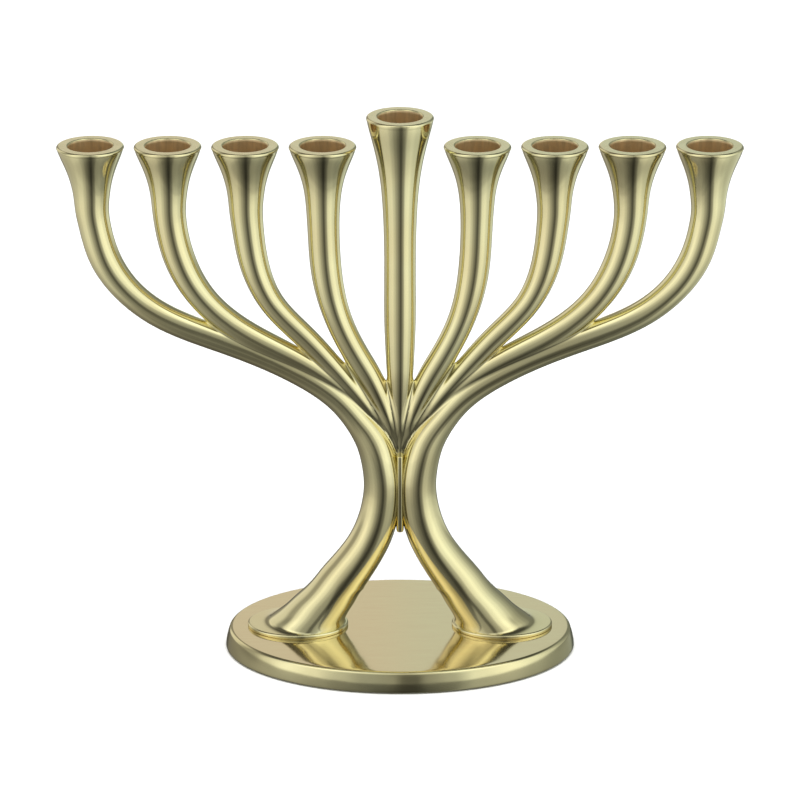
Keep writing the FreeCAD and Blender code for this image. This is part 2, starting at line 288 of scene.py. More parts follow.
def foot_rings(stations):
    """Rings from the end of an outer arm down the hollow flare and round its oval flange."""
    ends = [stations[-back] for back in FOOT_ANCHORS]
    knots = [(x, z, r, r, math.degrees(tilt)) for x, z, r, tilt in ends] + FOOT_SECTIONS
    places = [0.0]
    for one, two in zip(knots, knots[1:]):
        places.append(places[-1] + math.dist(one[:4], two[:4]))
    start = places[len(ends) - 1]
    share = np.linspace(0.0, 1.0, 12 * len(FOOT_SECTIONS) + 1)[1:]
    at = start + (places[-1] - start) * (1 - (1 - share) ** FOOT_CROWDING)
    rings = []
    for x, z, a, b, turn in spline(places, knots, at):
        edge = min(1.0, max(0.0, (a - FOOT_EDGE[0]) / FOOT_EDGE[1]))
        rings.append((x, z, a, b, math.radians(turn), CASTING, edge))
    for z, inset in slab_edge(FOOT_TOP, FOOT_LOW, FOOT_ROUND, FOOT_HEEL, 9, 6):
        edge = 1.0 if z > FOOT_LOW + FOOT_HEEL else 0.6
        rings.append((FOOT_X, z, FOOT_A - inset, FOOT_B - inset, 0.0, CASTING, edge))
    for f in (0.9, 0.6, 0.3, 0.02):
        rings.append((FOOT_X, FOOT_LOW, (FOOT_A - FOOT_HEEL) * f, (FOOT_B - FOOT_HEEL) * f,
                      0.0, CASTING, 0.0))
    return rings


def casting_rings(kind, place, cups, arms):
    """All rings of one cast piece, its cup on the row and its foot, if any, on the base."""
    rim_z, flare = cup_shape(kind)
    join, stations = arm_stations(kind, place, cups, arms)
    rings = cup_rings(abs(place) * cups.pitch / MM, rim_z, flare, cups, join)
    rings += [(x, z, r, r, tilt, CASTING, 0.0) for x, z, r, tilt in stations[1:]]
    if kind == "outer":
        rings += foot_rings(stations)
    if place < 0:
        rings = [(-x, z, a, b, -tilt, finish, edge) for x, z, a, b, tilt, finish, edge in rings]
        stations = [(-x, z, r, -tilt) for x, z, r, tilt in stations]
    return rings, np.array(stations)


# ---- node trees ------------------------------------------------------
def add(tree, kind, inputs=None, **values):
    """Adds a node; inputs maps a socket's name or number to a value or to an output."""
    node = tree.nodes.new(kind)
    for name, value in values.items():
        setattr(node, name, value)
    for key, value in (inputs or {}).items():
        if isinstance(value, bpy.types.NodeSocket):
            tree.links.new(value, node.inputs[key])
        else:
            node.inputs[key].default_value = value
    return node


def ring_skin_tree():
    """Closed skin over a row of oval rings: one vertex of the input is one ring."""
    tree = bpy.data.node_groups.get("ring_skin")
    if tree:
        return tree
    tree = bpy.data.node_groups.new("ring_skin", "GeometryNodeTree")
    face = tree.interface
    face.new_socket(name="Rings", in_out="INPUT", socket_type="NodeSocketGeometry")
    face.new_socket(name="Sides", in_out="INPUT", socket_type="NodeSocketInt")
    for name in ("Casting", "Turned", "Socket"):
        face.new_socket(name=name, in_out="INPUT", socket_type="NodeSocketMaterial")
    face.new_socket(name="Skin", in_out="OUTPUT", socket_type="NodeSocketGeometry")
    source = add(tree, "NodeGroupInput")
    rings, sides = source.outputs["Rings"], source.outputs["Sides"]
    size = add(tree, "GeometryNodeAttributeDomainSize", {0: rings}, component="MESH")
    fields = {"count": size.outputs["Point Count"], "sides": sides,
              "index": add(tree, "GeometryNodeInputIndex").outputs[0]}
    # Vertex 0 and the last one are the poles, where open is 0; the rings lie between them.
    for name, operation, *terms in (
            ("spans", "SUBTRACT", "count", 1.0), ("shifted", "SUBTRACT", "index", 1.0),
            ("share", "DIVIDE", "shifted", "sides"), ("ring", "FLOOR", "share"),
            ("turn", "SUBTRACT", "share", "ring"), ("angle", "MULTIPLY", "turn", math.tau),
            ("above", "GREATER_THAN", "ring", -0.5), ("last", "SUBTRACT", "count", 0.5),
            ("below", "LESS_THAN", "ring", "last"), ("open", "MULTIPLY", "above", "below"),
            ("cosine", "COSINE", "angle"), ("sine", "SINE", "angle")):
        inputs = {i: fields.get(term, term) for i, term in enumerate(terms)}
        fields[name] = add(tree, "ShaderNodeMath", inputs, operation=operation).outputs[0]
    tube = add(tree, "GeometryNodeMeshCylinder",
               {"Vertices": sides, "Side Segments": fields["spans"]}, fill_type="TRIANGLE_FAN")

    def stored(kind, name):
        """What an attribute says for a vertex's ring."""
        field = add(tree, "GeometryNodeInputNamedAttribute", {"Name": name}, data_type=kind)
        return add(tree, "GeometryNodeSampleIndex",
                   {"Geometry": rings, "Value": field.outputs[0], "Index": fields["ring"]},
                   data_type=kind, domain="POINT", clamp=True).outputs[0]

    middle = stored("FLOAT_VECTOR", "position")
    wide = add(tree, "ShaderNodeVectorMath",
               {0: stored("FLOAT_VECTOR", "half_width"), "Scale": fields["cosine"]},
               operation="SCALE")
    deep = add(tree, "ShaderNodeMath", {0: stored("FLOAT", "half_depth"), 1: fields["sine"]},
               operation="MULTIPLY")
    across = add(tree, "ShaderNodeCombineXYZ", {"Y": deep.outputs[0]})
    offset = add(tree, "ShaderNodeVectorMath", {0: wide.outputs[0], 1: across.outputs[0]},
                 operation="ADD")
    offset = add(tree, "ShaderNodeVectorMath", {0: offset.outputs[0], "Scale": fields["open"]},
                 operation="SCALE")
    place = add(tree, "ShaderNodeVectorMath", {0: middle, 1: offset.outputs[0]}, operation="ADD")
    skin = add(tree, "GeometryNodeSetPosition",
               {"Geometry": tube.outputs["Mesh"], "Position": place.outputs[0]}).outputs[0]
    for name in ("edge", "turned_radius", "finish"):
        skin = add(tree, "GeometryNodeStoreNamedAttribute",
                   {"Geometry": skin, "Name": name, "Value": stored("FLOAT", name)},
                   data_type="FLOAT", domain="POINT").outputs[0]
    skin = add(tree, "GeometryNodeSetShadeSmooth", {"Geometry": skin}).outputs[0]
    skin = add(tree, "GeometryNodeRealizeInstances", {"Geometry": skin}).outputs[0]
    skin = add(tree, "GeometryNodeSetMaterial",
               {"Geometry": skin, "Material": source.outputs["Casting"]}).outputs[0]
    finish = add(tree, "GeometryNodeInputNamedAttribute", {"Name": "finish"}, data_type="FLOAT")
    for name, level in (("Turned", TURNED), ("Socket", SOCKET)):
        chosen = add(tree, "ShaderNodeMath", {0: finish.outputs[0], 1: level - 0.6},
                     operation="GREATER_THAN")
        skin = add(tree, "GeometryNodeSetMaterial",
                   {"Geometry": skin, "Selection": chosen.outputs[0],
                    "Material": source.outputs[name]}).outputs[0]
    add(tree, "NodeGroupOutput", {0: skin})
    return tree


def new_object(name, data):
    made = bpy.data.objects.new(name, data)
    bpy.context.scene.collection.objects.link(made)
    return made


def ring_skin(name, rings, sides, casting, turned=None, socket=None):
    """Object whose mesh is the closed skin over the rings, in metres at the origin."""
    rows = np.array(rings, float)
    x, z, a, b, tilt, finish, edge = rows.T
    seeds = bpy.data.meshes.new(name + "_rings")
    seeds.from_pydata(np.column_stack([x, 0 * x, z]) * MM, [], [])
    wide = np.column_stack([a * np.cos(tilt), 0 * a, a * np.sin(tilt)]) * MM
    seeds.attributes.new("half_width", "FLOAT_VECTOR", "POINT").data.foreach_set(
        "vector", wide.astype(np.float32).ravel())
    for key, values in (("half_depth", b * MM), ("edge", edge), ("turned_radius", a * MM),
                        ("finish", finish)):
        seeds.attributes.new(key, "FLOAT", "POINT").data.foreach_set(
            "value", values.astype(np.float32))
    piece = new_object(name, seeds)
    tree = ring_skin_tree()
    modifier = piece.modifiers.new("Ring skin", "NODES")
    modifier.node_group = tree
    sockets = {s.name: s.identifier for s in tree.interface.items_tree if s.in_out == "INPUT"}
    modifier[sockets["Sides"]] = sides
    for socket_name, material in (("Casting", casting), ("Turned", turned), ("Socket", socket)):
        modifier[sockets[socket_name]] = material or casting
    graph = bpy.context.evaluated_depsgraph_get()
    mesh = bpy.data.meshes.new_from_object(piece.evaluated_get(graph), depsgraph=graph)
    mesh.name = name
    piece.modifiers.clear()
    piece.data = mesh
    bpy.data.meshes.remove(seeds)
    if signed_volume(mesh) < 0:
        mesh.flip_normals()
    return piece


def points_of(mesh, field="co"):
    values = np.zeros(len(mesh.vertices) * 3, np.float32)
    mesh.vertices.foreach_get(field, values)
    return values.reshape(-1, 3).astype(float)


def move_points(mesh, points):
    """Puts a mesh's vertices at points given in millimetres."""
    mesh.vertices.foreach_set("co", (points * MM).astype(np.float32).ravel())
    mesh.update()


def signed_volume(mesh):
    mesh.calc_loop_triangles()
    corners = np.zeros(len(mesh.loop_triangles) * 3, np.int32)
    mesh.loop_triangles.foreach_get("vertices", corners)
    a, b, c = points_of(mesh)[corners].reshape(-1, 3, 3).transpose(1, 0, 2)
    return float(np.einsum("ij,ij->i", a, np.cross(b, c)).sum())


# ---- soft creases between the arms -----------------------------------
def tube_distance(stations, points):
    """Signed distance in millimetres from points to the skin of a round arm."""
    x, z, r = stations[:, 0], stations[:, 1], stations[:, 2]
    flat = points[:, [0, 2]]
    gaps = (flat[:, :1] - x) ** 2 + (flat[:, 1:] - z) ** 2
    near = np.clip(gaps.argmin(1), 1, len(x) - 2)
    best = np.full(len(points), np.inf)
    for first in (near - 1, near):
        start = stations[first][:, :3]
        run = stations[first + 1][:, :3] - start
        share = ((flat - start[:, :2]) * run[:, :2]).sum(1) / (run[:, :2] ** 2).sum(1)
        spot = start + run * np.clip(share, 0, 1)[:, None]
        far = np.sqrt(((flat - spot[:, :2]) ** 2).sum(1) + points[:, 1] ** 2) - spot[:, 2]
        best = np.minimum(best, far)
    return best


def blended_distance(points, own, others):
    """Smooth union of an arm with its neighbours, each with the reach of its crease."""
    total = tube_distance(own, points)
    for stations, reach in others:
        far = tube_distance(stations, points)
        bump = np.maximum(reach - np.abs(total - far), 0) ** 2 / (4 * reach)
        total = np.minimum(total, far) - bump
    return total


def soften_creases(piece, own, others):
    """Fills the creases beside the neighbours with a small cove; the rest runs inside them."""
    mesh = piece.data
    points = points_of(mesh) / MM
    normals = points_of(mesh, "normal")
    reach = max(k for stations, k in others)

    def to_others(spot):
        return np.min([tube_distance(stations, spot) for stations, k in others], axis=0)

    zone = np.flatnonzero((points[:, 2] > CREASE_LOW) & (points[:, 2] < CREASE_HIGH))
    zone = zone[to_others(points[zone]) < reach * 1.3]
    start, out = points[zone], normals[zone]
    out = out / np.linalg.norm(out, axis=1)[:, None]
    move = np.zeros(len(zone))
    for step in range(7):
        spot = start + out * move[:, None]
        move = np.clip(move - blended_distance(spot, own, others), 0, reach)
    spot = start + out * move[:, None]
    # Past the middle of a crease the skin dives into the neighbour, to sunk below its own line.
    past, sunk = tube_distance(own, spot) - to_others(spot), 0.35
    move -= np.clip(0.4 * np.maximum(past, 0), 0, move + sunk)
    spot = start + out * move[:, None]
    points[zone] = spot
    move_points(mesh, points)
    slope = np.zeros_like(spot)
    for axis in range(3):
        nudge = np.zeros(3)
        nudge[axis] = 0.02
        slope[:, axis] = blended_distance(spot + nudge, own, others) \
            - blended_distance(spot - nudge, own, others)
    slope /= np.linalg.norm(slope, axis=1)[:, None] + 1e-12
    normals = points_of(mesh, "normal")
    normals[zone] = slope
    mesh.normals_split_custom_set_from_vertices(normals.tolist())


# ---- materials -------------------------------------------------------
def new_material(name):
    material = bpy.data.materials.new(name)
    material.use_nodes = True
    tree = material.node_tree
    tree.nodes.clear()
    return material, tree


def finish_surface(tree, inputs, normal=None):
    if normal is not None:
        inputs["Normal"] = normal
    shader = add(tree, "ShaderNodeBsdfPrincipled", inputs)
    add(tree, "ShaderNodeOutputMaterial", {"Surface": shader.outputs[0]})


def object_noise(tree, size, detail, stretch=(1, 1, 1), distortion=0.0):
    """Noise on Object coordinates; size is the length of a repeat in metres."""
    place = add(tree, "ShaderNodeTexCoord").outputs["Object"]
    place = add(tree, "ShaderNodeMapping", {"Vector": place, "Scale": stretch}).outputs[0]
    return add(tree, "ShaderNodeTexNoise",
               {"Vector": place, "Scale": 1 / size, "Detail": detail, "Roughness": 0.55,
                "Distortion": distortion}).outputs[0]


def shaded(tone, factor):
    """A colour property's colour, darker or lighter by a factor."""
    return [min(1.0, factor * c) for c in tone[:3]] + [1.0]


def blended(tree, field, low, high, one, two, most=1.0):
    """Colour that goes from one towards two while a field rises from low to high."""
    share = add(tree, "ShaderNodeMapRange", {0: field, 1: low, 2: high, 4: most}).outputs[0]
    return add(tree, "ShaderNodeMix", {0: share, 6: tuple(one), 7: tuple(two)},
               data_type="RGBA").outputs[2]


def plated_casting(finish):
    """Polished pale-gold plating on a casting: mirror-bright, with the faint waviness and orange
    peel that polishing leaves, soft handling marks and slightly worn edges."""
    material, tree = new_material("polished_gold_plating_on_casting")
    patches = object_noise(tree, 0.022, 2.0)
    tone = blended(tree, patches, 0.35, 0.65, finish.plating, finish.plating_deep)
    smudge = object_noise(tree, 0.006, 5.0, distortion=0.6)
    edge = add(tree, "ShaderNodeAttribute", attribute_name="edge").outputs["Fac"]
    rough = add(tree, "ShaderNodeMapRange",
                {0: smudge, 1: 0.3, 2: 0.75, 3: 0.075, 4: 0.135}).outputs[0]
    worn = add(tree, "ShaderNodeMath", {0: edge, 1: 0.05, 2: rough}, operation="MULTIPLY_ADD")
    hairs = object_noise(tree, 0.0011, 2.0, stretch=(1.0, 1.0, 0.12), distortion=0.3)
    waves = object_noise(tree, 0.009, 1.0)
    bump = add(tree, "ShaderNodeBump", {"Strength": 0.16, "Distance": 0.00035, "Height": waves})
    fine = add(tree, "ShaderNodeBump", {"Strength": 0.035, "Distance": 0.00006, "Height": hairs,
                                        "Normal": bump.outputs[0]})
    finish_surface(tree, {"Base Color": tone, "Metallic": 1.0, "Roughness": worn.outputs[0]},
                   fine.outputs[0])
    return material


def turned_rim(finish):
    """The same plating over a face turned on a lathe: fine rings about 0.15 mm apart, drawn as
    coarse as 0.3 mm so that they show, which spread the highlight across the rings."""
    material, tree = new_material("gold_plating_turned_face")
    radius = add(tree, "ShaderNodeAttribute", attribute_name="turned_radius").outputs["Fac"]
    grain = object_noise(tree, 0.004, 3.0)
    phase = add(tree, "ShaderNodeMath", {0: radius, 1: math.tau / 0.0003, 2: grain},
                operation="MULTIPLY_ADD").outputs[0]
    rings = add(tree, "ShaderNodeMath", {0: phase}, operation="SINE").outputs[0]
    rough = add(tree, "ShaderNodeMapRange",
                {0: grain, 1: 0.3, 2: 0.7, 3: 0.19, 4: 0.28}).outputs[0]
    bump = add(tree, "ShaderNodeBump", {"Strength": 0.25, "Distance": 0.00002, "Height": rings})
    tone = blended(tree, grain, 0.0, 1.0, finish.plating, finish.plating_deep)
    finish_surface(tree, {"Base Color": tone, "Metallic": 1.0, "Roughness": rough},
                   bump.outputs[0])
    return material


def socket_wall(finish):
    """Unpolished plating in the sockets: thin, browner and dull, with run marks down the wall."""
    material, tree = new_material("thin_plating_in_sockets")
    runs = object_noise(tree, 0.0016, 4.0, stretch=(1.0, 1.0, 0.18))
    tone = blended(tree, runs, 0.35, 0.7, finish.socket, shaded(finish.socket, 0.75))
    rough = add(tree, "ShaderNodeMapRange",
                {0: runs, 1: 0.3, 2: 0.7, 3: 0.5, 4: 0.62}).outputs[0]
    bump = add(tree, "ShaderNodeBump", {"Strength": 0.2, "Distance": 0.00005, "Height": runs})
    finish_surface(tree, {"Base Color": tone, "Metallic": 0.96, "Roughness": rough},
                   bump.outputs[0])
    return material


def brushed_base(finish):
    """Plating over a base finished with a fine belt along its length: lines about 0.1 mm apart,
    drawn about 0.4 mm apart so that they show, over an otherwise bright surface."""
    material, tree = new_material("gold_plating_finely_brushed")
    lines = object_noise(tree, 0.0004, 3.0, stretch=(0.03, 1.0, 1.0))
    patches = object_noise(tree, 0.03, 3.0)
    tone = blended(tree, lines, 0.3, 0.7, finish.brushed, finish.plating, most=0.45)
    edge = add(tree, "ShaderNodeAttribute", attribute_name="edge").outputs["Fac"]
    rough = 0.05
    for field, weight in ((lines, 0.05), (patches, 0.06), (edge, 0.03)):
        rough = add(tree, "ShaderNodeMath", {0: field, 1: weight, 2: rough},
                    operation="MULTIPLY_ADD").outputs[0]
    bump = add(tree, "ShaderNodeBump", {"Strength": 0.06, "Distance": 0.00003, "Height": lines})
    finish_surface(tree, {"Base Color": tone, "Metallic": 1.0, "Roughness": rough},
                   bump.outputs[0])
    return material


def wool_felt(finish):
    """Pressed wool felt: matt, matted fibres about 0.03 mm thick drawn at 0.15 mm, soft sheen."""
    material, tree = new_material("pressed_wool_felt")
    fibres = object_noise(tree, 0.0008, 6.0, distortion=2.0)
    tufts = object_noise(tree, 0.004, 2.0)
    tone = blended(tree, fibres, 0.35, 0.75, finish.felt, shaded(finish.felt, 2.6))
    height = add(tree, "ShaderNodeMath", {0: tufts, 1: 0.5, 2: fibres}, operation="MULTIPLY_ADD")
    bump = add(tree, "ShaderNodeBump", {"Strength": 0.7, "Distance": 0.00025,
                                        "Height": height.outputs[0]})
    finish_surface(tree, {"Base Color": tone, "Roughness": 0.95,
                          "Sheen Weight": 0.4, "Sheen Roughness": 0.5}, bump.outputs[0])
    return material


def zinc_steel(finish):
    """Zinc-plated steel of screws, washers and pins: bluish grey, slightly cloudy."""
    material, tree = new_material("zinc_plated_steel")
    cloud = object_noise(tree, 0.0015, 4.0)
    tone = blended(tree, cloud, 0.0, 1.0, finish.steel, shaded(finish.steel, 0.7))
    rough = add(tree, "ShaderNodeMapRange",
                {0: cloud, 1: 0.3, 2: 0.7, 3: 0.28, 4: 0.42}).outputs[0]
    bump = add(tree, "ShaderNodeBump", {"Strength": 0.2, "Distance": 0.00003, "Height": cloud})
    finish_surface(tree, {"Base Color": tone, "Metallic": 1.0, "Roughness": rough},
                   bump.outputs[0])
    return material


MAKERS = {"plated": plated_casting, "turned": turned_rim, "socket": socket_wall,
          "brushed": brushed_base, "felt": wool_felt, "steel": zinc_steel}
MADE = {}


def finish_named(key):
    if key not in MADE:
        MADE[key] = MAKERS[key](bpy.context.scene.menorah_finish)
    return MADE[key]


def seat(piece, slot, *nodes):
    """Hands a finished piece to the frame."""
    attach(piece, "root")
    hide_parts(*nodes)


# ---- pieces ----------------------------------------------------------
class MENORAH_OT_castings(bpy.types.Operator):
    """Build the eight side arms and the servant stem, each with its candle cup"""
    bl_idname = "menorah.castings"
    bl_label = "Arms and cups"

    def execute(self, context):
        cups, arms = context.scene.menorah_cups, context.scene.menorah_arms
        made = {name: casting_rings(kind, place, cups, arms)
                for name, (kind, place, others) in CASTINGS.items()}
        for name, (kind, place, others) in CASTINGS.items():
            rings, own = made[name]
            piece = ring_skin("plated_" + name, rings, arms.sides, finish_named("plated"),
                              finish_named("turned"), finish_named("socket"))
            creases = []
            for other in others:
                wide = {kind, CASTINGS[other][0]} in ({"fourth", "stem"}, {"third", "fourth"})
                creases.append((made[other][1], (arms.merge if wide else arms.crease) / MM))
            soften_creases(piece, own, creases)
            seat(piece, "plated_casting", name)
        return {"FINISHED"}


class MENORAH_OT_waist_bar(bpy.types.Operator):
    """Build the short bar between the two legs at the waist"""
    bl_idname = "menorah.waist_bar"
    bl_label = "Waist bar"

    def execute(self, context):
        rings = [(0.0, z, BAR_HALF_WIDTH - inset, BAR_HALF_DEPTH - inset, 0.0, CASTING, 0.5)
                 for z, inset in slab_edge(BAR_HIGH, BAR_LOW, BAR_ROUND, BAR_ROUND, 7, 7)]
        piece = ring_skin("plated_waist_bar", rings, BAR_SIDES, finish_named("plated"))
        square_up(piece.data)
        seat(piece, "plated_casting", "waist_bar")
        return {"FINISHED"}


def square_up(mesh):
    """Turns the bar's oval rings into rectangles with rounded corners."""
    points = points_of(mesh) / MM
    half = BAR_HALF_WIDTH, BAR_HALF_DEPTH
    angle = np.arctan2(points[:, 1] / half[1], points[:, 0] / half[0])
    size = np.hypot(points[:, 0] / half[0], points[:, 1] / half[1])
    for axis, reach in enumerate((np.cos(angle), np.sin(angle))):
        points[:, axis] = half[axis] * size * np.sign(reach) * np.abs(reach) ** (2 / BAR_SQUARENESS)
    move_points(mesh, points)


class MENORAH_OT_base(bpy.types.Operator):
    """Build the oval base with its rounded shoulder and hollow underside"""
    bl_idname = "menorah.base"
    bl_label = "Base"

    def execute(self, context):
        base = context.scene.menorah_base
        top, low = base.top / MM, base.lift / MM
        soft = base.rounding / MM
        lean, foot_lean = WALL_LEAN
        touch = top - soft + soft * math.sin(lean)

        def wall_inset(z):
            """The wall leans in more and more towards the shoulder."""
            rise = z - low
            steeper = (math.tan(lean) - math.tan(foot_lean)) / (touch - low)
            return math.tan(foot_lean) * rise + steeper * rise * rise / 2

        centre = wall_inset(touch) + soft * math.cos(lean)
        profile = [(centre, top, 0.0)]            # (inset from the lower outline, height, edge)
        for s, c in list(zip(*quarter(13, 0.0, 90 - math.degrees(lean))))[1:]:
            profile.append((centre - soft * s, top - soft * (1 - c), 1.0))
        for f in np.linspace(0.0, 1.0, 10)[1:]:
            z = touch + (low + WALL_ROUND - touch) * f
            profile.append((wall_inset(z), z, 0.3 * f))
        for s, c in list(zip(*quarter(6)))[1:]:
            profile.append((WALL_ROUND * (1 - c) + WALL_STEP, low + WALL_ROUND * (1 - s), 1.0))
        ledge, wall, roof = base.ledge / MM, base.wall / MM, top - base.skin / MM
        seat_z = base.felt / MM
        for inset, z in ((ledge - ARRIS, low), (ledge, low + ARRIS), (ledge, seat_z - ARRIS),
                         (ledge + ARRIS, seat_z), (wall - ARRIS, seat_z), (wall, seat_z + ARRIS),
                         (wall, roof - ROOF_ROUND), (wall + ROOF_ROUND, roof)):
            profile.append((inset, z, 0.0))
        wide, deep = base.half_width / MM, base.half_depth / MM
        rings = [(0.0, top, (wide - centre) * f, (deep - centre) * f, 0.0, TURNED, 0.0)
                 for f in np.linspace(0.02, 1.0, 26)[:-1]]
        for inset, z, edge in profile:
            finish = TURNED if z > top - 0.02 else CASTING
            rings.append((0.0, z, wide - inset, deep - inset, 0.0, finish, edge))
        for f in (0.7, 0.4, 0.02):
            rings.append((0.0, roof, (wide - wall) * f, (deep - wall) * f, 0.0, CASTING, 0.0))
        piece = ring_skin("plated_base_plate", rings, BASE_SIDES, finish_named("plated"),
                          finish_named("brushed"))
        seat(piece, "plated_base", "base_plate")
        return {"FINISHED"}


class MENORAH_OT_felt(bpy.types.Operator):
    """Build the felt pad let in under the base"""
    bl_idname = "menorah.felt"
    bl_label = "Felt pad"

    def execute(self, context):
        wide, deep, thick = (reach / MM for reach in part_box("felt_pad")[1])
        outline = [(thick, wide * f, deep * f, 0.0) for f in np.linspace(0.02, 0.99, 30)]
        outline += [(z, wide - inset, deep - inset, 1.0)
                    for z, inset in slab_edge(thick, 0.0, FELT_ROUND, FELT_ROUND, 6, 6)]
        outline += [(0.0, wide * f, deep * f, 0.0) for f in np.linspace(0.99, 0.02, 60)]
        rings = [(0.0, z, a, b, 0.0, CASTING, edge) for z, a, b, edge in outline]
        piece = ring_skin("felt_pad_pressed", rings, BASE_SIDES, finish_named("felt"))
        # The matted surface rises and falls by a few hundredths of a millimetre.
        points = points_of(piece.data) / MM
        random = np.random.default_rng(FELT_SEED)
        lift = random.uniform(0.0, FELT_PILE, len(points))
        under = points[:, 2] < 0.01
        points[under, 2] += lift[under]
        inward = 1 - FELT_SLACK * random.uniform(0.0, 1.0, len(points))
        points[:, :2] *= inward[:, None]
        move_points(piece.data, points)
        seat(piece, "felt", "felt_pad")
        return {"FINISHED"}


class MENORAH_OT_fasteners(bpy.types.Operator):
    """Give the screws, washers and pins under the base their zinc-plated finish"""
    bl_idname = "menorah.fasteners"
    bl_label = "Screws, washers and pins"

    def execute(self, context):
        for kind in ("leg_screw", "leg_washer", "locating_pin"):
            for side in ("left", "right"):
                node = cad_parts[kind + "_" + side]
                node.data.materials.clear()
                node.data.materials.append(finish_named("steel"))
        return {"FINISHED"}


# ---- stage -----------------------------------------------------------
# Light levels round the tent, below and above eye level; degrees run from the front to the right.
LOW_WALLS = [(-180, 0.85), (-170, 0.65), (-163, 0.28), (-153, 0.32), (-143, 0.6), (-125, 0.66),
             (-98, 0.82), (-75, 1.06), (-55, 1.1), (-38, 0.82), (-22, 0.5), (-7, 0.28), (2, 0.13),
             (9, 0.13), (14, 0.3), (21, 0.42), (36, 1.18), (55, 1.28), (75, 1.02), (100, 0.8),
             (125, 0.85), (143, 0.95), (153, 0.32), (163, 0.28), (170, 0.7), (180, 0.85)]
HIGH_WALLS = [(-180, 0.72), (-172, 0.7), (-164, 0.26), (-154, 0.3), (-145, 0.85), (-123, 0.78),
              (-102, 0.38), (-90, 0.4), (-75, 0.84), (-57, 1.18), (-41, 0.96), (-27, 0.6),
              (-15, 0.38), (-4, 0.34), (2, 0.13), (8, 0.13), (13, 0.36), (24, 0.5), (35, 1.0),
              (58, 1.26), (76, 1.04), (97, 0.75), (115, 0.5), (130, 0.36), (145, 0.24),
              (162, 0.22), (172, 0.66), (180, 0.72)]
# Blends by height in degrees: from low to high walls, from walls to ceiling, and down the floor.
EYE_LEVEL = [(-90, 0.0), (-14, 0.0), (2, 1.0), (90, 1.0)]
CEILING = [(-90, 0.0), (34, 0.0), (52, 1.0), (90, 1.0)]
FALL = [(-90, 0.3), (-76, 0.36), (-60, 0.55), (-45, 0.73), (-25, 0.88), (-5, 1.0), (90, 1.0)]
FLOOR_RADIUS, FLOOR_DROP = 1.25, 0.0001   # metres
LAMP_PLACE, LAMP_SIZE, LAMP_POWER, LAMP_TINT = (0.0, -0.1, 1.3), 1.6, 26.0, "#FCFCFF"
# The card of painted floor shade: how much of the floor's light it lets through, from its middle to
# its rim.
CARD_RADIUS, CARD_DROP = 0.4, 0.00005
CARD_LEVELS = [(0.0, 0.38), (0.25, 0.42), (0.36, 0.56), (0.47, 0.8), (0.6, 0.9), (0.8, 0.92),
               (1.0, 0.95)]


def set_stops(node, stops):
    """Gives a colour ramp its smooth grey levels: (place from 0 to 1, level)."""
    bar = node.color_ramp
    bar.interpolation = "EASE"
    for element, (at, level) in zip(bar.elements, (stops[0], stops[-1])):
        element.position = at
        element.color = (level,) * 3 + (1.0,)
    for at, level in stops[1:-1]:
        bar.elements.new(at).color = (level,) * 3 + (1.0,)


